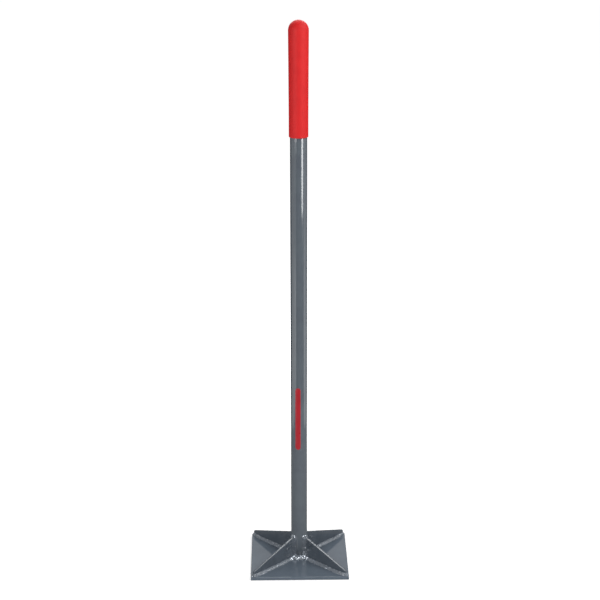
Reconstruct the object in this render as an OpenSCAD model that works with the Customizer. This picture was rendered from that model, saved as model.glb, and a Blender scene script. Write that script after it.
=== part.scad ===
// Hand tamper: a square steel plate on a tube handle, stiffened by four corner gussets,
// with fillet welds at every joint and a soft grip pulled over the top of the tube.
// Millimetres. +Z runs up the handle, and the origin is the centre of the plate's underside.
// The front of the tool faces -Y.

/* [Base plate] */
// Side of the square base plate
plate_side = 203.2; // [150:0.1:260]
// Thickness of the base plate
plate_thick = 6.35; // [4:0.05:12]
// Rounding along the plate's upper edges
plate_edge_r = 1; // [0.4:0.1:2]

/* [Handle tube] */
// Outside diameter of the handle tube
tube_od = 33.7; // [25:0.1:48]
// Wall thickness of the handle tube
tube_wall = 2.77; // [1.5:0.01:5]
// Length of the handle tube
tube_len = 1107.5; // [600:0.5:1500]

/* [Gussets] */
// Thickness of each gusset
gusset_thick = 4.76; // [3:0.01:8]
// Height of a gusset where it meets the tube
gusset_height = 48.5; // [30:0.5:80]
// Height of a gusset at its nose, by the plate's corner
gusset_nose_height = 10.5; // [5:0.5:25]

/* [Welds] */
// Leg of the fillet around the foot of the tube
foot_leg = 8; // [7.8:0.1:11]
// Leg of the fillets along both sides of a gusset's foot
base_leg = 5.8; // [3:0.1:6]
// Leg of the fillet where it wraps round a gusset's nose
nose_leg = 2.8; // [1:0.1:3]
// Length over which a gusset's fillet thins down to its nose
nose_taper = 24; // [8:1:40]
// Leg of the fillets up both sides of a gusset, on the tube
riser_leg = 4.6; // [2:0.1:4.9]
// Plate left bare between a nose fillet and the rounded edge
nose_margin = 0.1; // [0.05:0.05:4]

/* [Grip] */
// Length of tube that the grip covers
grip_cover = 206; // [100:1:300]
// Wall of the grip at its open end
grip_wall_open = 2.3; // [1.5:0.05:4]
// Wall of the grip at its domed end
grip_wall_dome = 3.2; // [2:0.05:6]
// Share of the cover, from the open end, that keeps an even wall
grip_even_share = 0.15; // [0.05:0.01:0.5]

/* [Hidden] */
$fn = 96;
paint = "slategray";
vinyl = "crimson";

tube_r = tube_od / 2;
tube_top = plate_thick + tube_len;

corner_reach = plate_side / sqrt(2);
nose_reach = corner_reach - gusset_thick / 2 - sqrt(2) * (nose_leg + plate_edge_r) - nose_margin;
gusset_top = plate_thick + gusset_height;
gusset_slope = (gusset_height - gusset_nose_height) / (nose_reach - tube_r);

// A riser fillet's centre line is the corner between a gusset's face and the tube.
// It starts inside the foot fillet, which is then cut from it.
riser_reach = sqrt(pow(tube_r, 2) - pow(gusset_thick / 2, 2));
riser_start = plate_thick + foot_leg / 2;

grip_open_z = tube_top - grip_cover;
grip_open_r = tube_r + grip_wall_open;
grip_dome_r = tube_r + grip_wall_dome;
grip_flare_z = grip_open_z + grip_even_share * grip_cover;
grip_flare_steps = 16;
grip_flare_power = 1.3;

// Room that a cutting solid reaches past what it cuts.
cut = 1;

// Directions of the gussets and of the plate's sides, as turns about +Z from +X.
front_left_angle = 225;
front_right_angle = 315;
rear_right_angle = 45;
rear_left_angle = 135;
quarter_angle = 90;

// Waste above the rounding of one upper edge of the plate, on the +X side.
module plate_edge_waste() {
    translate([plate_side / 2 - plate_edge_r, 0, plate_thick - plate_edge_r])
        rotate([90, 0, 0])
            linear_extrude(plate_side + 2 * cut, center = true)
                difference() {
                    square(plate_edge_r + cut);
                    circle(plate_edge_r);
                }
}

module base_plate() {
    color(paint)
        difference() {
            translate([-plate_side / 2, -plate_side / 2, 0])
                cube([plate_side, plate_side, plate_thick]);
            for (turn = [0 : quarter_angle : 3 * quarter_angle])
                rotate(turn)
                    plate_edge_waste();
        }
}

// The tube as a solid bar, for what is cut to fit against it.
module tube_bar() {
    translate([0, 0, plate_thick - cut])
        cylinder(h = gusset_height + foot_leg + riser_leg + 2 * cut, r = tube_r);
}

module handle_tube() {
    color(paint)
        translate([0, 0, plate_thick])
            difference() {
                cylinder(h = tube_len, r = tube_r);
                translate([0, 0, -cut])
                    cylinder(h = tube_len + 2 * cut, r = tube_r - tube_wall);
            }
}

// A gusset before its inner end is cut to the tube. It stands on the plate and reaches out along +X.
module gusset_blank() {
    rotate([90, 0, 0])
        linear_extrude(gusset_thick, center = true)
            polygon([
                [0, plate_thick],
                [nose_reach, plate_thick],
                [nose_reach, plate_thick + gusset_nose_height],
                [tube_r, gusset_top],
                [0, gusset_top]
            ]);
}

module gusset(turn) {
    color(paint)
        rotate(turn)
            difference() {
                gusset_blank();
                tube_bar();
            }
}

// The fillet all the way around the tube's foot.
module foot_ring() {
    rotate_extrude()
        translate([tube_r, plate_thick])
            intersection() {
                circle(foot_leg);
                square(foot_leg);
            }
}

// Foot fillet between the faces of two gussets, of which the first is the one at turn.
module foot_weld(turn) {
    span = tube_r + foot_leg + cut;
    color(paint)
        rotate(turn)
            intersection() {
                foot_ring();
                translate([gusset_thick / 2, gusset_thick / 2, plate_thick - cut])
                    cube([span, span, foot_leg + 2 * cut]);
            }
}

// Weld metal along +X from the tube's axis: round, thinning at its outer end, with a round tip.
module base_run() {
    rotate([90, 0, 90])
        rotate_extrude()
            union() {
                polygon([
                    [0, 0],
                    [base_leg, 0],
                    [base_leg, nose_reach - nose_taper],
                    [nose_leg, nose_reach],
                    [0, nose_reach]
                ]);
                translate([0, nose_reach])
                    intersection() {
                        circle(nose_leg);
                        square(nose_leg);
                    }
            }
}

// The fillet along both sides of a gusset's foot and round its nose, before it meets its neighbours.
module base_beads() {
    translate([0, 0, plate_thick]) {
        for (side = [-1, 1])
            translate([0, side * gusset_thick / 2, 0])
                base_run();
        translate([nose_reach, 0, 0])
            rotate([90, 0, 0])
                cylinder(h = gusset_thick, r = nose_leg, center = true);
    }
}

// Everything below the plate's upper face, under a gusset and its fillets.
module below_plate_top() {
    translate([-cut, -gusset_thick / 2 - base_leg - cut, plate_thick - base_leg - cut])
        cube([nose_reach + nose_leg + 2 * cut, gusset_thick + 2 * (base_leg + cut), base_leg + cut]);
}

module base_weld(turn) {
    color(paint)
        rotate(turn)
            difference() {
                base_beads();
                below_plate_top();
                gusset_blank();
                tube_bar();
                foot_ring();
            }
}

// Half of the space around a gusset's inner end, split at its sloping upper edge:
// the half above the edge with over = 1, and the half below it with over = 0.
module upper_edge_half(over) {
    reach = tube_r + riser_leg + cut;
    rise = gusset_height + riser_leg + cut;
    translate([tube_r, 0, gusset_top])
        rotate([0, atan(gusset_slope), 0])
            translate([-reach, -reach, (over - 1) * rise])
                cube([2 * reach, 2 * reach, rise]);
}

// The fillet up one face of a gusset, from the foot fillet to the gusset's upper edge:
// the face that looks counter-clockwise with face = 1, and the other one with face = -1.
module riser_weld(turn, face) {
    reach = tube_r + riser_leg + cut;
    color(paint)
        rotate(turn)
            difference() {
                translate([riser_reach, face * gusset_thick / 2, riser_start])
                    cylinder(h = gusset_height, r = riser_leg);
                translate([0, face > 0 ? gusset_thick / 2 - reach : -gusset_thick / 2, plate_thick])
                    cube([reach, reach, gusset_height + foot_leg]);
                upper_edge_half(1);
                tube_bar();
                foot_ring();
            }
}

// The fillet across a gusset's upper edge, with round ends over its two risers.
module crest_weld(turn) {
    color(paint)
        rotate(turn)
            difference() {
                translate([riser_reach, 0, gusset_top])
                    rotate([90, 0, 0])
                        union() {
                            cylinder(h = gusset_thick, r = riser_leg, center = true);
                            for (side = [-1, 1])
                                translate([0, 0, side * gusset_thick / 2])
                                    sphere(riser_leg);
                        }
                upper_edge_half(0);
                tube_bar();
            }
}

// Radius of the grip's outside at height z: even near its open end, then flaring towards the dome.
function grip_r(z) =
    grip_open_r
    + (grip_dome_r - grip_open_r) * pow((z - grip_flare_z) / (tube_top - grip_flare_z), grip_flare_power);

module grip_profile() {
    flare = [
        for (i = [0 : grip_flare_steps])
            let (z = grip_flare_z + i / grip_flare_steps * (tube_top - grip_flare_z))
                [grip_r(z), z]
    ];
    lip_z = grip_open_z + grip_wall_open / 2;
    difference() {
        union() {
            translate([tube_r + grip_wall_open / 2, lip_z])
                circle(grip_wall_open / 2);
            polygon(concat(
                [[0, tube_top], [0, lip_z], [grip_open_r, lip_z]],
                flare
            ));
            translate([0, tube_top])
                intersection() {
                    circle(grip_dome_r);
                    square(grip_dome_r);
                }
        }
        translate([0, grip_open_z - cut])
            square([tube_r, grip_cover + cut]);
        translate([0, tube_top])
            circle(tube_r);
    }
}

module grip() {
    color(vinyl)
        rotate_extrude()
            grip_profile();
}

base_plate();
handle_tube();
gusset(front_left_angle);  // gusset_front_left
gusset(front_right_angle);  // gusset_front_right
gusset(rear_right_angle);  // gusset_rear_right
gusset(rear_left_angle);  // gusset_rear_left
foot_weld(front_left_angle);  // foot_weld_front
foot_weld(front_right_angle);  // foot_weld_right
foot_weld(rear_right_angle);  // foot_weld_rear
foot_weld(rear_left_angle);  // foot_weld_left
base_weld(front_left_angle);  // base_weld_front_left
base_weld(front_right_angle);  // base_weld_front_right
base_weld(rear_right_angle);  // base_weld_rear_right
base_weld(rear_left_angle);  // base_weld_rear_left
riser_weld(front_left_angle, 1);  // riser_weld_front_left_front
riser_weld(front_left_angle, -1);  // riser_weld_front_left_left
riser_weld(front_right_angle, 1);  // riser_weld_front_right_right
riser_weld(front_right_angle, -1);  // riser_weld_front_right_front
riser_weld(rear_right_angle, 1);  // riser_weld_rear_right_rear
riser_weld(rear_right_angle, -1);  // riser_weld_rear_right_right
riser_weld(rear_left_angle, 1);  // riser_weld_rear_left_left
riser_weld(rear_left_angle, -1);  // riser_weld_rear_left_rear
crest_weld(front_left_angle);  // crest_weld_front_left
crest_weld(front_right_angle);  // crest_weld_front_right
crest_weld(rear_right_angle);  // crest_weld_rear_right
crest_weld(rear_left_angle);  // crest_weld_rear_left
grip();
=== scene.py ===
"""Looks of a hand tamper: painted steel plate, tube and gussets, rippled welds and a red vinyl grip.

Surfaces are worked out in millimetres in the part's own frame: the plate's underside is z = 0, the
handle runs up +Z and the front of the tool faces -Y. Meshes are written in metres, and the lights, the
cards and the camera are placed in metres.
"""

import math

import bpy
import numpy as np
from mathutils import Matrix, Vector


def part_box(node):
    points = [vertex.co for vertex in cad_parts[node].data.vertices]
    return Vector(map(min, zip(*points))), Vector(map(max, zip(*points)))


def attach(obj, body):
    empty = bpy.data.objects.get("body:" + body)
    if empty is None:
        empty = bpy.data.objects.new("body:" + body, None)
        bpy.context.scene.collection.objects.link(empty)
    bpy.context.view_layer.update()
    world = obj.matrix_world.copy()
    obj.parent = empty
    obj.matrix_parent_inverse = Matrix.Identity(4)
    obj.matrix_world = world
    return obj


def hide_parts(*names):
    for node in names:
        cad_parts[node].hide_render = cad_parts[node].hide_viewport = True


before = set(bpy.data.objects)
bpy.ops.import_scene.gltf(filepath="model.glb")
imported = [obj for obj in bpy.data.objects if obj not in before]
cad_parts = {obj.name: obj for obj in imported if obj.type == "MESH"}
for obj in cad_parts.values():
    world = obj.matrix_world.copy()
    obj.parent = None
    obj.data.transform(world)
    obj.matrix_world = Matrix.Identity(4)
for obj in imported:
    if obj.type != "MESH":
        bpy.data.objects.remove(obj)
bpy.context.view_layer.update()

MM = 0.001


def high_corner(node):
    """A node's highest corner in millimetres, to the nearest micrometre."""
    return [round(value / MM, 3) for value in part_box(node)[1]]


# Sizes of the solids in millimetres. U runs out from the tube's axis along a gusset.
PLATE_HALF, _, PLATE_TOP = high_corner("base_plate")
TUBE_R, _, TUBE_TOP = high_corner("handle_tube")
TUBE_BORE_R = 14.08
GUSSET_TOP = high_corner("gusset_front_right")[2]
GUSSET_HALF = 2.38
NOSE_TOP = PLATE_TOP + 10.5
NOSE_U = 135.83
GRIP_DOME_R = high_corner("grip")[0]
GRIP_OPEN_R = 19.15
GRIP_BOTTOM = 907.85
GRIP_FLARE = 938.75
GRIP_FLARE_POWER = 1.3

# Legs of the welds, on the plate or tube and up the other surface, and the length over which a leg
# along a gusset's foot changes to the one at its nose. A riser's leg is shorter by a share over the
# gusset's upper edge, and on the gusset's faces it is longer by a share.
FOOT_LEG = 8
BASE_LEG, BASE_LEG_UP = 5.8, 4.6
NOSE_LEG, NOSE_LEG_UP = 2.8, 6
NOSE_TAPER = 24
RISER_LEG = 4.6
CREST_SHORTER, FACE_LONGER = 0.35, 0.5

# How far a gusset and the weld along its foot reach into the tube's surface.
GUSSET_TUCK = 0.2
BEAD_TUCK = 0.5

# A plain red bar printed on the front of the tube: sizes along and round it, and how thick its ink is.
MARK_MIDDLE = 323
MARK_LENGTH = 136
MARK_WIDTH = 11
MARK_TURN = math.radians(-8)
MARK_FILM = 0.06

# Degrees about the Z axis at which the gussets stand.
GUSSETS = {"front_left": 225, "front_right": 315, "rear_right": 45, "rear_left": 135}

UP = [0.0, 0.0, 1.0]


# Meshes

def ring_faces(rows, cols, wrap):
    """Quads between neighbouring rows of a grid whose columns run round in a ring."""
    i = np.arange(rows if wrap else rows - 1)[:, None]
    j = np.arange(cols)[None, :]
    near, far = i * cols, (i + 1) % rows * cols
    ahead = (j + 1) % cols
    return np.stack([near + j, near + ahead, far + ahead, far + j], -1).reshape(-1, 4)


def cap_faces(first, cols, pole):
    """Triangles from one ring of a grid to a pole."""
    j = np.arange(cols)
    return np.stack([first + (j + 1) % cols, first + j, np.full(cols, pole)], -1)


def signed_volume(points, triangles):
    """Volume inside a closed surface: positive where its faces look outwards."""
    a, b, c = (points[triangles[:, k]] for k in range(3))
    return np.einsum("ij,ij->i", a, np.cross(b, c)).sum() / 6


def skin(name, rings, material, wrap=False):
    """A closed piece from rings, an array of rows by columns by xyz in millimetres.
    Columns run round, and rows either run round too, with wrap, or close on a pole at each end."""
    rows, cols = rings.shape[:2]
    points = rings.reshape(-1, 3)
    quads = ring_faces(rows, cols, wrap)
    triangles = np.zeros((0, 3), int)
    if not wrap:
        points = np.concatenate([points, [rings[0].mean(0), rings[-1].mean(0)]])
        pole = rows * cols
        triangles = np.concatenate([
            cap_faces(0, cols, pole),
            cap_faces((rows - 1) * cols, cols, pole + 1)[:, ::-1],
        ])
    solid = np.concatenate([quads[:, [0, 1, 2]], quads[:, [0, 2, 3]], triangles])
    if signed_volume(points, solid) < 0:
        quads, triangles = quads[:, ::-1], triangles[:, ::-1]
    mesh = bpy.data.meshes.new(name)
    mesh.from_pydata((points * MM).tolist(), [], quads.tolist() + triangles.tolist())
    mesh.polygons.foreach_set("use_smooth", np.ones(len(mesh.polygons), bool))
    mesh.materials.append(material)
    mesh.update()
    piece = bpy.data.objects.new(name, mesh)
    bpy.context.scene.collection.objects.link(piece)
    return piece


def belongs(piece, slot, *nodes):
    """The piece rides on the root body and stands for these nodes, if any, hiding them. Its slot is not
    used.
    """
    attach(piece, "root")
    if nodes:
        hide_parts(*nodes)


# Shapes

# A slab's rows: steps round an edge, rows on the flat faces this far in from the edge's round, which
# keep the faces' shading flat, and the sharpest corner that a row may have.
EDGE_STEPS = 6
FACE_ROWS = (0.3, 1.2)
SHARPEST = 0.05


def outline(corners, inset, radius, per_edge, per_corner=7):
    """Ring round a convex outline, drawn in by inset, with its corners rounded to radius.
    Each corner is moved in along its mitre by inset + radius, and the ring then stands off
    by radius along a normal that turns from one edge's to the next one's."""
    corners = np.asarray(corners, float)
    along = np.roll(corners, -1, 0) - corners
    along /= np.linalg.norm(along, axis=1, keepdims=True)
    out = np.stack([along[:, 1], -along[:, 0]], 1)
    before = np.roll(out, 1, 0)
    mitre = (before + out) / (1 + (before * out).sum(1, keepdims=True))
    core = corners - (inset + radius) * mitre

    start = np.arctan2(before[:, 1], before[:, 0])
    turn = (np.arctan2(out[:, 1], out[:, 0]) - start) % (2 * np.pi)
    angle = start[:, None] + turn[:, None] * np.linspace(0, 1, per_corner)
    normal = np.stack([np.cos(angle), np.sin(angle)], -1)
    bends = core[:, None] + radius * normal

    edge_from = core + radius * out
    edge_to = np.roll(core, -1, 0) + radius * out
    share = np.linspace(0, 1, per_edge + 2)[1:-1, None]
    edges = edge_from[:, None] * (1 - share) + edge_to[:, None] * share
    return np.concatenate([bends, edges], 1).reshape(-1, 2)


def slab(corners, low, high, edge_low, edge_high, corner_r, per_edge):
    """Rings over a flat slab between the heights low and high, with its edges rounded.
    A row is the outline drawn in by some inset at some height: in along the lower face,
    round the lower edge by a quarter turn, up the side, round the upper edge and in again."""
    quarter = np.linspace(0, np.pi / 2, EDGE_STEPS)
    lower = np.stack([edge_low * (1 - np.sin(quarter)), low + edge_low * (1 - np.cos(quarter))], 1)
    upper = np.stack([edge_high * (1 - np.cos(quarter)), high - edge_high * (1 - np.sin(quarter))], 1)
    near, far = FACE_ROWS
    rows = np.concatenate([
        [[edge_low + far, low], [edge_low + near, low]],
        lower,
        upper,
        [[edge_high + near, high], [edge_high + far, high]],
    ])
    rings = []
    for inset, height in rows:
        ring = outline(corners, inset, max(corner_r - inset, SHARPEST), per_edge)
        rings.append(np.column_stack([ring, np.full(len(ring), height)]))
    return np.array(rings)


def lathe(profile, segments=192):
    """Rings of a profile of radius and height turned about the Z axis."""
    angle = np.linspace(0, 2 * np.pi, segments, endpoint=False)
    radius, height = profile[:, :1], profile[:, 1:]
    return np.stack([radius * np.cos(angle), radius * np.sin(angle), height + 0 * angle], -1)


def turned(points, degrees):
    """Points turned about the Z axis."""
    c, s = math.cos(math.radians(degrees)), math.sin(math.radians(degrees))
    return points @ np.array([[c, s, 0], [-s, c, 0], [0, 0, 1]])


# Plates, tube, grip and mark

def plate_rings():
    """The square plate: a slab whose upper edge is worn rounder than its lower one."""
    square = PLATE_HALF * np.array([(-1, -1), (1, -1), (1, 1), (-1, 1)])
    return slab(square, 0, PLATE_TOP, edge_low=0.5, edge_high=1.2, corner_r=1.6, per_edge=60)


def gusset_rings():
    """A gusset along +X: a slab of its side view, stood on edge by swapping its height and its depth."""
    inner, edge = TUBE_R - GUSSET_TUCK, 0.5
    side_view = [(inner, PLATE_TOP), (NOSE_U, PLATE_TOP), (NOSE_U, NOSE_TOP), (inner, GUSSET_TOP)]
    rings = slab(side_view, -GUSSET_HALF, GUSSET_HALF, edge, edge, corner_r=0.8, per_edge=40)
    return rings[..., [0, 2, 1]]


def tube_rings(rows=40, end=0.6, clear=1.5):
    """The tube: a profile up its outside, over its end and down its bore, turned about the axis.
    The end is half an ellipse across the wall, and the straight rows stop clear below the top."""
    half_wall = (TUBE_R - TUBE_BORE_R) / 2
    middle = TUBE_R - half_wall
    turn = np.linspace(0, np.pi, 9)
    height = np.linspace(PLATE_TOP, TUBE_TOP - clear, rows)
    return lathe(np.concatenate([
        np.column_stack([np.full(rows, TUBE_R), height]),
        np.column_stack([middle + half_wall * np.cos(turn), TUBE_TOP - end + end * np.sin(turn)]),
        np.column_stack([np.full(rows, TUBE_BORE_R), height[::-1]]),
    ]))


def grip_rings(inner_rows=12, clear=6):
    """The grip: a profile down its outside, round its open end and up its inside, turned about the axis.
    Outside, a quarter circle stands over the tube's end, and below it the wall thins to the open end's
    by a power of the height above the flare's foot. The open end is a half circle between the grip's
    outside and the tube, and the inside follows the tube to a quarter circle of its own."""
    dome = np.linspace(0, np.pi / 2, 25)[1:-1]
    flare = np.linspace(GRIP_FLARE, TUBE_TOP, 50)
    share = ((flare - GRIP_FLARE) / (TUBE_TOP - GRIP_FLARE)) ** GRIP_FLARE_POWER
    wall = np.column_stack([GRIP_OPEN_R + (GRIP_DOME_R - GRIP_OPEN_R) * share, flare])
    lip = np.linspace(0, -np.pi, 13)
    lip_r = (GRIP_OPEN_R - TUBE_R) / 2
    inside = np.linspace(GRIP_BOTTOM + clear, TUBE_TOP, inner_rows)
    return lathe(np.concatenate([
        np.column_stack([GRIP_DOME_R * np.cos(dome), TUBE_TOP + GRIP_DOME_R * np.sin(dome)])[::-1],
        wall[::-1],
        np.column_stack([TUBE_R + lip_r + lip_r * np.cos(lip), GRIP_BOTTOM + lip_r + lip_r * np.sin(lip)]),
        np.column_stack([np.full(inner_rows, TUBE_R), inside]),
        np.column_stack([TUBE_R * np.cos(dome), TUBE_TOP + TUBE_R * np.sin(dome)]),
    ]))


def mark_rings(rows=61, cols=17):
    """The red bar: a film of ink with round ends, wrapped on the tube. Rows run up it, closer together
    towards its ends, where its half width follows a half circle. Each row goes across over the film and
    back under it, just below the tube's surface."""
    height = MARK_MIDDLE + MARK_LENGTH / 2 * np.sin(np.linspace(-np.pi / 2, np.pi / 2, rows))
    straight = (MARK_LENGTH - MARK_WIDTH) / 2
    run_out = np.clip((np.abs(height - MARK_MIDDLE) - straight) / (MARK_WIDTH / 2), 0, 0.999)
    half_turn = MARK_WIDTH / 2 * np.sqrt(1 - run_out ** 2) / TUBE_R
    across = np.linspace(-1, 1, cols)
    around = MARK_TURN + half_turn[:, None] * np.concatenate([across, across[::-1]])
    radius = TUBE_R + np.repeat([MARK_FILM, -MARK_FILM], cols)
    return np.stack([radius * np.sin(around), -radius * np.cos(around), height[:, None] + 0 * around], -1)


# Welds

# Ripple of a weld. Drift and bow are shares of a pitch: how far lumps wander along the weld, and how far
# they run ahead in the middle of the bead. Chatter is the smaller lumps: how many to a lump, and how
# high against one. The toes keep a share of the ripple, and the whole bead's size drifts by a share.
LUMP_DRIFT, LUMP_BOW = 0.3, 0.4
CHATTER_RATE, CHATTER_SHARE = 2.7, 0.45
CHATTER_DRIFT, CHATTER_BOW = 0.4, 0.5
TOE_RIPPLE = 0.4
SIZE_DRIFT = 0.08

# A crater's half length in millimetres, and its middle and half width in radians across the bead.
CRATER_HALF = 1.7
CRATER_MIDDLE, CRATER_WIDTH = 0.9, 0.4

# How deep a bead's back lies in both surfaces, and the share of its legs at which its length is measured.
BEAD_SINK = 0.3
BEAD_MIDDLE = 0.6


def wander(s, seed):
    """Slow uneven drift along a weld, within about 1 either way: three sines of unlike length."""
    return (0.5 * np.sin(s / 5.3 + 1.7 * seed) + 0.3 * np.sin(s / 2.1 + 4.1 * seed)
            + 0.4 * np.sin(s / 13.7 + 2.9 * seed))


def scallop(phase):
    """Rounded lumps one phase long with narrow valleys between them, around 0: the root of a sine's
    size, less about its mean."""
    return np.sqrt(np.abs(np.sin(np.pi * phase))) - 0.75


def bead(corner, along_a, along_b, leg_a, leg_b, seed, pitch, ripple, flat, across=19, crater=0.0):
    """Rings of a rippled fillet laid in a corner. At each station the outer curve runs from a toe
    one leg out along surface a to a toe one leg up surface b: a quarter turn with flat 1, a straight
    line with flat 2, and hollow beyond that.
    Overlapping scallops swell it, one pitch long and bowed forwards in the middle of the bead, with
    a chatter of smaller ones over them. A crater dents the middle of the run by that share, as a
    bell curve both ways. The back of the bead sinks a little into both surfaces."""
    middle = corner + BEAD_MIDDLE * (leg_a[:, None] * along_a + leg_b[:, None] * along_b)
    step = np.linalg.norm(np.diff(middle, axis=0), axis=1)
    s = np.concatenate([[0], np.cumsum(step)])[:, None]
    phi = np.linspace(0, np.pi / 2, across)[None, :]
    bow = np.sin(2 * phi)
    lumps = scallop(s / pitch + LUMP_DRIFT * wander(s, seed) - LUMP_BOW * bow)
    chatter = scallop(CHATTER_RATE * s / pitch + CHATTER_DRIFT * wander(s, seed + 0.3) - CHATTER_BOW * bow)
    ripples = ripple * (lumps + CHATTER_SHARE * chatter) * (TOE_RIPPLE + (1 - TOE_RIPPLE) * bow)
    lengthwise = (s - s[-1] / 2) / CRATER_HALF
    crosswise = (phi - CRATER_MIDDLE) / CRATER_WIDTH
    dent = crater * np.exp(-lengthwise ** 2 - crosswise ** 2)
    swell = (1 + ripples + SIZE_DRIFT * wander(s, seed + 0.5)) * (1 - dent)
    a = leg_a[:, None] * swell * np.cos(phi) ** flat
    b = leg_b[:, None] * swell * np.sin(phi) ** flat
    sink = np.full_like(s, -BEAD_SINK)
    a = np.concatenate([a, sink, sink, a[:, :1]], 1)
    b = np.concatenate([b, b[:, -1:], sink, sink], 1)
    return corner[:, None] + a[..., None] * along_a[:, None] + b[..., None] * along_b[:, None]


def ends(count, blunt=3, least=0.02):
    """Leg factors along a run of count stations: a quarter circle over the first and the last few,
    blunt of them, starting a little above 0 so that no end closes to a line."""
    near = np.minimum(np.arange(count), np.arange(count)[::-1]) / blunt
    return np.sqrt(1 - (1 - np.clip(near, least, 1)) ** 2)


def round_edge(run, bend, flat, first, last):
    """Stations of a weld along one face of a gusset, round its edge and along the other face: run of them
    on each face, bend at each corner of the edge and flat across it. Gives the place across the gusset
    and the way that the weld faces, which turns from first to last, half at each corner."""
    middle = (first + last) / 2
    v = np.concatenate([
        np.full(run + bend, GUSSET_HALF),
        np.linspace(GUSSET_HALF, -GUSSET_HALF, flat),
        np.full(bend + run, -GUSSET_HALF),
    ])
    facing = np.concatenate([
        np.full(run, first),
        np.linspace(first, middle, bend),
        np.full(flat, middle),
        np.linspace(middle, last, bend),
        np.full(run, last),
    ])
    return v, facing


def foot_bead(turn, seed, stations=110, short=2):
    """Fillet round a quarter of the tube's foot, short of it by a few degrees at each end, where it runs
    into a gusset."""
    angle = np.radians(np.linspace(short, 90 - short, stations))
    radial = np.stack([np.cos(angle), np.sin(angle), 0 * angle], 1)
    corner = TUBE_R * radial + [0, 0, PLATE_TOP]
    up = np.tile(UP, (stations, 1))
    leg = FOOT_LEG * ends(stations)
    rings = bead(corner, radial, up, leg, leg, seed, pitch=7.5, ripple=0.36, flat=1.2, across=25)
    return turned(rings, turn)


def base_bead(turn, seed, run=300):
    """Fillet out along one side of a gusset's foot, round its nose and back along the other side.
    The corner line follows the foot's outline from just inside the tube, and the way out over the plate
    turns a quarter at each corner of the nose. Towards the nose the legs change evenly to the nose's."""
    v, facing = round_edge(run, bend=12, flat=14, first=np.pi / 2, last=-np.pi / 2)
    count = len(v)
    out = np.linspace(TUBE_R - BEAD_TUCK, NOSE_U, run)
    u = np.concatenate([out, np.full(count - 2 * run, NOSE_U), out[::-1]])
    corner = np.stack([u, v, np.full(count, PLATE_TOP)], 1)
    away = np.stack([np.cos(facing), np.sin(facing), 0 * facing], 1)
    up = np.tile(UP, (count, 1))
    nose = np.clip((u - NOSE_U + NOSE_TAPER) / NOSE_TAPER, 0, 1)
    leg_a = (BASE_LEG + (NOSE_LEG - BASE_LEG) * nose) * ends(count)
    leg_b = (BASE_LEG_UP + (NOSE_LEG_UP - BASE_LEG_UP) * nose) * ends(count)
    rings = bead(corner, away, up, leg_a, leg_b, seed, pitch=9.5, ripple=0.34, flat=1.6, crater=0.4)
    return turned(rings, turn)


def riser_bead(turn, seed, run=110, start=2, lean=0.23):
    """Fillet up one face of a gusset on the tube, over its upper edge and down the other face.
    Surface a is the tube, which falls away from the gusset's faces by the angle lean, and surface b is
    the gusset, whose upper edge slopes down to its nose. The run begins start above the plate."""
    v, facing = round_edge(run, bend=14, flat=16, first=0.0, last=np.pi)
    count = len(v)
    climb = np.linspace(PLATE_TOP + start, GUSSET_TOP, run)
    z = np.concatenate([climb, np.full(count - 2 * run, GUSSET_TOP), climb[::-1]])
    corner = np.stack([np.sqrt(TUBE_R ** 2 - v ** 2), v, z], 1)
    fall = np.abs(np.sin(lean * np.cos(facing)))
    on_tube = np.stack([-fall, np.cos(facing), np.sin(facing)], 1)
    slope = math.atan2(GUSSET_TOP - NOSE_TOP, NOSE_U - TUBE_R) * np.sin(facing)
    on_gusset = np.stack([np.cos(slope), 0 * slope, -np.sin(slope)], 1)
    leg = RISER_LEG * ends(count) * (1 - CREST_SHORTER * np.sin(facing))
    wide = leg * (1 + FACE_LONGER * np.cos(facing) ** 2)
    rings = bead(corner, on_tube, on_gusset, leg, wide, seed, pitch=13.0, ripple=0.2, flat=1.9)
    return turned(rings, turn)


# Materials

# Most of a noise lies in the middle half of its range.
NOISE_RANGE = {"From Min": 0.25, "From Max": 0.75}
BARE_STEEL = "c4cad2"


def srgb(code):
    """Linear RGBA from a six-digit sRGB hex code."""
    c = np.array([int(code[k:k + 2], 16) for k in (0, 2, 4)]) / 255
    linear = np.where(c <= 0.04045, c / 12.92, ((c + 0.055) / 1.055) ** 2.4)
    return (*linear.tolist(), 1.0)


def add(tree, kind, inputs=(), **settings):
    """Adds a node with its settings. Its inputs, by name or number, take a plain value or a socket."""
    node = tree.nodes.new(kind)
    for name, value in settings.items():
        setattr(node, name, value)
    for name, value in dict(inputs).items():
        if isinstance(value, bpy.types.NodeSocket):
            tree.links.new(value, node.inputs[name])
        else:
            node.inputs[name].default_value = value
    return node


def new_material(name):
    """A material with an empty node tree."""
    material = bpy.data.materials.new(name)
    material.use_nodes = True
    material.node_tree.nodes.clear()
    return material, material.node_tree


def speckle(tree, size_mm, detail=2.0):
    """Noise over the object whose spots are about size_mm across: one wave of it is two spots long."""
    place = add(tree, "ShaderNodeTexCoord").outputs["Object"]
    noise = {"Vector": place, "Scale": 1 / (2 * size_mm * MM), "Detail": detail}
    return add(tree, "ShaderNodeTexNoise", noise).outputs["Fac"]


def clouds(tree, size_mm, spread, deep, shade):
    """Colour that drifts from deep to shade in clouds about size_mm across. It changes over this spread
    of the noise, round its middle."""
    ramp = add(tree, "ShaderNodeValToRGB", {"Fac": speckle(tree, size_mm, 3.0)})
    low, high = ramp.color_ramp.elements
    low.position, high.position = 0.5 - spread / 2, 0.5 + spread / 2
    low.color, high.color = srgb(deep), srgb(shade)
    return ramp.outputs["Color"]


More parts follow.
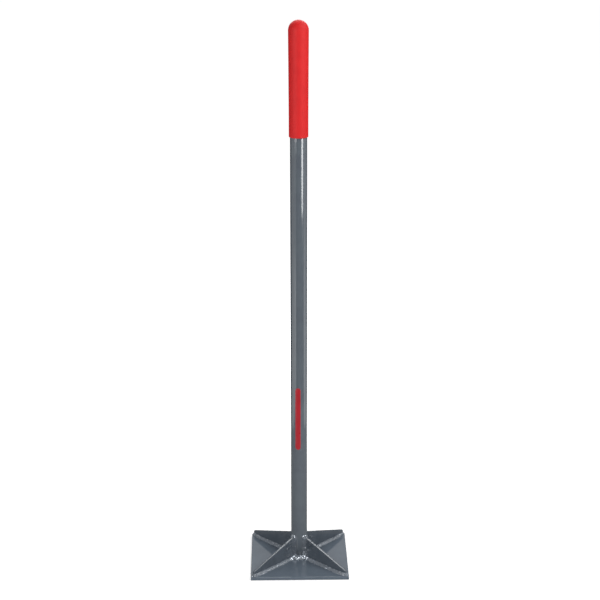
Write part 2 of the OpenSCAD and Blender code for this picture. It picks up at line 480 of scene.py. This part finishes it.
def distance(tree, height, scale):
    """Millimetres from a point on the Z axis at this height, with each axis stretched by its scale."""
    place = add(tree, "ShaderNodeTexCoord").outputs["Object"]
    away = add(tree, "ShaderNodeVectorMath", {0: place, 1: (0, 0, height * MM)}, operation="SUBTRACT")
    stretch = [factor / MM for factor in scale]
    wide = add(tree, "ShaderNodeVectorMath", {0: away.outputs["Vector"], 1: stretch}, operation="MULTIPLY")
    length = add(tree, "ShaderNodeVectorMath", {0: wide.outputs["Vector"]}, operation="LENGTH")
    return length.outputs["Value"]


def spatter(tree):
    """Drops of weld spatter about 3 mm across, one to a cell of 4.5 mm: full height within 30 mm of the
    tube's axis and gone 70 mm from it."""
    place = add(tree, "ShaderNodeTexCoord").outputs["Object"]
    cells = add(tree, "ShaderNodeTexVoronoi", {"Vector": place, "Scale": 1 / (4.5 * MM)})
    drops = add(tree, "ShaderNodeMapRange", {
        "Value": cells.outputs["Distance"], "From Min": 0.4, "From Max": 0.1,
    })
    axis = distance(tree, 0, (1, 1, 0))
    near = add(tree, "ShaderNodeMapRange", {"Value": axis, "From Min": 70, "From Max": 30})
    both = {0: drops.outputs["Result"], 1: near.outputs["Result"]}
    return add(tree, "ShaderNodeMath", both, operation="MULTIPLY").outputs["Value"]


def flecks(tree):
    """1 on flecks of bare steel about 1.4 mm across: thick round the tube's foot and on the crests of
    the gussets, and rare elsewhere. A noise is raised near the foot's middle and near the crests'
    height, and shows as a fleck where it passes a level."""
    foot = add(tree, "ShaderNodeMapRange", {
        "Value": distance(tree, PLATE_TOP, (1, 1, 2.2)), "From Min": 36, "From Max": 30,
    }).outputs["Result"]
    crest = add(tree, "ShaderNodeMapRange", {
        "Value": distance(tree, GUSSET_TOP, (0, 0, 1)), "From Min": 6, "From Max": 3, "To Max": 0.85,
    }).outputs["Result"]
    chipped = add(tree, "ShaderNodeMath", {0: foot, 1: crest}, operation="MAXIMUM").outputs["Value"]
    raised = add(tree, "ShaderNodeMath", {0: chipped, 1: 0.17, 2: speckle(tree, 1.4, 1.0)},
                 operation="MULTIPLY_ADD").outputs["Value"]
    return add(tree, "ShaderNodeMapRange", {
        "Value": raised, "From Min": 0.69, "From Max": 0.73,
    }).outputs["Result"]


def paint(name, shade, deep, peel, rough, spattered=False, chipped=False):
    """Gloss paint or ink on steel. It gives the eye a body colour that drifts a little between two shades,
    clear reflections of lights and of the steel beside it, and a faint orange peel, whose width and
    depth in millimetres are peel. It lies over weld spatter where spattered, and where chipped it shows
    bright flecks of steel."""
    material, tree = new_material(name)
    peel_mm, peel_depth_mm = peel
    colour = clouds(tree, 14, 0.3, deep, shade)
    normal = add(tree, "ShaderNodeBump", {
        "Height": speckle(tree, peel_mm, 1.5), "Distance": peel_depth_mm * MM,
    }).outputs["Normal"]
    if spattered:
        normal = add(tree, "ShaderNodeBump", {
            "Height": spatter(tree), "Distance": 0.8 * MM, "Normal": normal,
        }).outputs["Normal"]
    gloss = add(tree, "ShaderNodeMapRange", {
        "Value": speckle(tree, 5), **NOISE_RANGE, "To Min": rough - 0.03, "To Max": rough + 0.04,
    }).outputs["Result"]
    looks = {"Base Color": colour, "Normal": normal, "Roughness": gloss, "IOR": 1.55}
    if chipped:
        fleck = flecks(tree)
        steel = add(tree, "ShaderNodeMix", {0: fleck, 6: colour, 7: srgb(BARE_STEEL)}, data_type="RGBA")
        looks.update({"Base Color": steel.outputs[2], "Metallic": fleck})
    shader = add(tree, "ShaderNodeBsdfPrincipled", looks)
    add(tree, "ShaderNodeOutputMaterial", {"Surface": shader.outputs["BSDF"]})
    return material


def vinyl(name, shade, deep):
    """Dip-moulded red vinyl. It gives the eye a strong even red with a soft satin sheen,
    broken by a fine skin texture and slightly cloudy where the dip ran thicker."""
    material, tree = new_material(name)
    sheen = add(tree, "ShaderNodeMapRange", {
        "Value": speckle(tree, 3), **NOISE_RANGE, "To Min": 0.54, "To Max": 0.62,
    })
    texture = add(tree, "ShaderNodeBump", {"Height": speckle(tree, 0.6), "Distance": 0.02 * MM})
    shader = add(tree, "ShaderNodeBsdfPrincipled", {
        "Base Color": clouds(tree, 9, 0.4, deep, shade), "Roughness": sheen.outputs["Result"],
        "Normal": texture.outputs["Normal"], "IOR": 1.3,
    })
    add(tree, "ShaderNodeOutputMaterial", {"Surface": shader.outputs["BSDF"]})
    return material


# One paint: lighter copies on plate and welds are painted light, the darker gusset copy painted shade.
STEEL_PAINT = paint("gloss_paint_on_steel", "52595f", "4e545b", peel=(1.1, 0.005), rough=0.07)
PLATE_PAINT_LIT = paint("gloss_paint_on_plate_painted_light", "545d67", "505963", peel=(1.1, 0.005), rough=0.07)
GUSSET_PAINT_SHADED = paint("gloss_paint_on_gusset_painted_shade", "4a5159", "414850", peel=(2.6, 0.05), rough=0.09,
                     spattered=True)
WELD_PAINT_LIT = paint("gloss_paint_on_weld_painted_light", "686f78", "596068", peel=(0.9, 0.09), rough=0.12, chipped=True)
RISER_PAINT = paint("gloss_paint_on_riser", "555c63", "474d55", peel=(1.5, 0.06), rough=0.15, chipped=True)
RED_VINYL = vinyl("dip_moulded_vinyl", "bd1b1c", "b5181a")
RED_INK = paint("gloss_red_ink", "9c1020", "940e1c", peel=(1.1, 0.01), rough=0.3)


# Pieces

belongs(skin("plate", plate_rings(), PLATE_PAINT_LIT), "painted_steel", "base_plate")
belongs(skin("tube", tube_rings(), STEEL_PAINT, wrap=True), "painted_steel", "handle_tube")

# Each weld has a seed of its own, so that no two ripple alike.
gusset = gusset_rings()
for seed, (name, turn) in enumerate(GUSSETS.items()):
    plate = skin("gusset_plate_" + name, turned(gusset, turn), GUSSET_PAINT_SHADED)
    belongs(plate, "painted_steel", "gusset_" + name)
    base = skin("base_bead_" + name, base_bead(turn, seed), WELD_PAINT_LIT)
    belongs(base, "painted_weld", "base_weld_" + name)
    riser = skin("riser_bead_" + name, riser_bead(turn, seed + 4), RISER_PAINT)
    riser_nodes = [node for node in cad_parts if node.startswith("riser_weld_" + name)]
    belongs(riser, "painted_weld", "crest_weld_" + name, *riser_nodes)
for seed, (name, turn) in enumerate(zip(("front", "right", "rear", "left"), GUSSETS.values())):
    foot = skin("foot_bead_" + name, foot_bead(turn, seed + 9), WELD_PAINT_LIT)
    belongs(foot, "painted_weld", "foot_weld_" + name)

belongs(skin("grip_sleeve", grip_rings(), RED_VINYL), "vinyl", "grip")
belongs(skin("tube_mark", mark_rings(), RED_INK), "painted_steel")


# Studio

# Heights of the floor and of the cloths that lie over it, and the places of the upright cloths.
FLOOR_Z = -0.0005
FAR_CLOTH_Z = -0.0003
NEAR_CLOTH_Z = -0.0002
FRONT_Y = -3.2
REAR_Y = 4

# How white reflections see the sky and the floor, and how much of the sky lights the tool.
SKY_REFLECTED = 0.7
FLOOR_REFLECTED = 0.72
SKY_LIGHT = 0.03

# The photograph's width and the camera's focal length in pixels, and the sensor's width in millimetres.
PHOTO_WIDTH = 600
FOCAL_PIXELS = 1452
SENSOR_WIDTH = 36


def area_light(name, place, target, width, height, radiance):
    """A soft box that faces a point: its power gives the same radiance whatever its size."""
    data = bpy.data.lights.new(name, "AREA")
    data.shape = "RECTANGLE"
    data.size, data.size_y = width, height
    data.energy = radiance * width * height * math.pi
    light = bpy.data.objects.new(name, data)
    light.location = place
    way = np.subtract(target, place)
    tilt = math.atan2(math.hypot(way[0], way[1]), -way[2])
    light.rotation_euler = (tilt, 0, math.atan2(-way[0], way[1]))
    bpy.context.scene.collection.objects.link(light)


def card(name, corners, material):
    """A flat stage card with these corners."""
    mesh = bpy.data.meshes.new(name)
    mesh.from_pydata(corners, [], [tuple(range(len(corners)))])
    mesh.materials.append(material)
    piece = bpy.data.objects.new(name, mesh)
    bpy.context.scene.collection.objects.link(piece)
    return piece


def cloth(name, corners, material):
    """A card that only reflections see."""
    piece = card(name, corners, material)
    piece.visible_camera = piece.visible_diffuse = piece.visible_shadow = piece.visible_transmission = False


def lying(z, *corners):
    """Corners of a card that lies at one height."""
    return [(x, y, z) for x, y in corners]


def standing(y, left, right, top):
    """Corners of a card that stands across the view, from the floor up."""
    return [(left, y, 0), (right, y, 0), (right, y, top), (left, y, top)]


def seen_ray(tree, reflected):
    """1 for rays from the camera, this much for reflected ones, and 0 for light that falls on things."""
    path = add(tree, "ShaderNodeLightPath").outputs
    return add(tree, "ShaderNodeMath", {0: path["Is Glossy Ray"], 1: reflected, 2: path["Is Camera Ray"]},
               operation="MULTIPLY_ADD").outputs["Value"]


def floor_material():
    """Matt white floor that the camera and reflections see lifted to white. The lift grows from 450 to
    750 mm out from the tool and is weak nearer to it, so that the floor keeps the tool's shadow."""
    material, tree = new_material("white_floor")
    white = add(tree, "ShaderNodeBsdfDiffuse", {"Color": srgb("e6e6e6")}).outputs["BSDF"]
    strength = add(tree, "ShaderNodeMapRange", {
        "Value": distance(tree, 0, (1, 1, 0)), "From Min": 450, "From Max": 750, "To Min": 0.3,
    }).outputs["Result"]
    lift = add(tree, "ShaderNodeEmission", {"Color": srgb("ffffff"), "Strength": strength})
    lifted = add(tree, "ShaderNodeAddShader", {0: white, 1: lift.outputs["Emission"]})
    seen = seen_ray(tree, FLOOR_REFLECTED)
    mix = add(tree, "ShaderNodeMixShader", {0: seen, 1: white, 2: lifted.outputs["Shader"]})
    add(tree, "ShaderNodeOutputMaterial", {"Surface": mix.outputs["Shader"]})
    return material


def cloth_material(name, shade):
    """Matt cloth of one shade."""
    material, tree = new_material(name)
    matt = add(tree, "ShaderNodeBsdfDiffuse", {"Color": srgb(shade)})
    add(tree, "ShaderNodeOutputMaterial", {"Surface": matt.outputs["BSDF"]})
    return material


BLACK_CLOTH = cloth_material("black_cloth", "101010")
GREY_CLOTH = cloth_material("grey_cloth", "909090")

card("floor", lying(FLOOR_Z, (-6, -6), (6, -6), (6, 20), (-6, 20)), floor_material())

# The paint mirrors dark cloths before and behind the tool, and a grey one round its foot.
cloth("near_flag", lying(NEAR_CLOTH_Z, (-0.75, -0.75), (0.75, -0.75), (0.75, 0.75), (-0.75, 0.75)),
      GREY_CLOTH)
cloth("front_floor_flag",
      lying(FAR_CLOTH_Z, (-0.6, -0.75), (-2.6, FRONT_Y), (2.2, FRONT_Y), (3.5, -1.2), (0.75, -0.26)),
      BLACK_CLOTH)
cloth("front_flag", standing(FRONT_Y, -2.6, 2.2, 3), BLACK_CLOTH)
cloth("rear_floor_flag", lying(FAR_CLOTH_Z, (-0.75, 0.27), (0.75, 0.27), (11, REAR_Y), (-11, REAR_Y)),
      BLACK_CLOTH)
cloth("rear_flag", standing(REAR_Y, -11, 11, 0.8), BLACK_CLOTH)

# Soft boxes: place, target, width and height in metres, and radiance.
area_light("key_strip", (2.26, -1.97, 0.32), (0, 0, 0.32), 1.15, 0.6, 10.8)
area_light("top_box", (0.085, 1.3, 1.9), (0.085, 0, 0), 1.53, 1.6, 3.9)
area_light("left_box", (-1.28, -1.53, 1.13), (0, 0, 0.2), 1.5, 1.5, 4.8)
area_light("right_box", (1.28, -0.6, 1.885), (0, 0, 0.2), 1.7, 1.7, 4.1)
area_light("front_box", (1.28, -1.53, 1.13), (0, 0, 0.2), 1.0, 1.0, 1.6)

world = bpy.data.worlds.new("studio")
bpy.context.scene.world = world
world.use_nodes = True
sky_tree = world.node_tree
sky_tree.nodes.clear()
seen = seen_ray(sky_tree, SKY_REFLECTED)
level = add(sky_tree, "ShaderNodeMapRange", {"Value": seen, "To Min": SKY_LIGHT})
sky = add(sky_tree, "ShaderNodeBackground", {"Color": srgb("ffffff"), "Strength": level.outputs["Result"]})
add(sky_tree, "ShaderNodeOutputWorld", {"Surface": sky.outputs["Background"]})

# The camera is fitted to the plate's corners and to the handle as they lie in the photograph.
lens = bpy.data.cameras.new("camera")
lens.sensor_width = SENSOR_WIDTH
lens.lens = FOCAL_PIXELS / PHOTO_WIDTH * SENSOR_WIDTH
camera = bpy.data.objects.new("camera", lens)
camera.location = (-0.0437, -2.798, 1.443)
camera.rotation_euler = np.radians([72.765, 0.062, -0.964])
bpy.context.scene.collection.objects.link(camera)
bpy.context.scene.camera = camera
bpy.context.scene.view_settings.view_transform = "Standard"
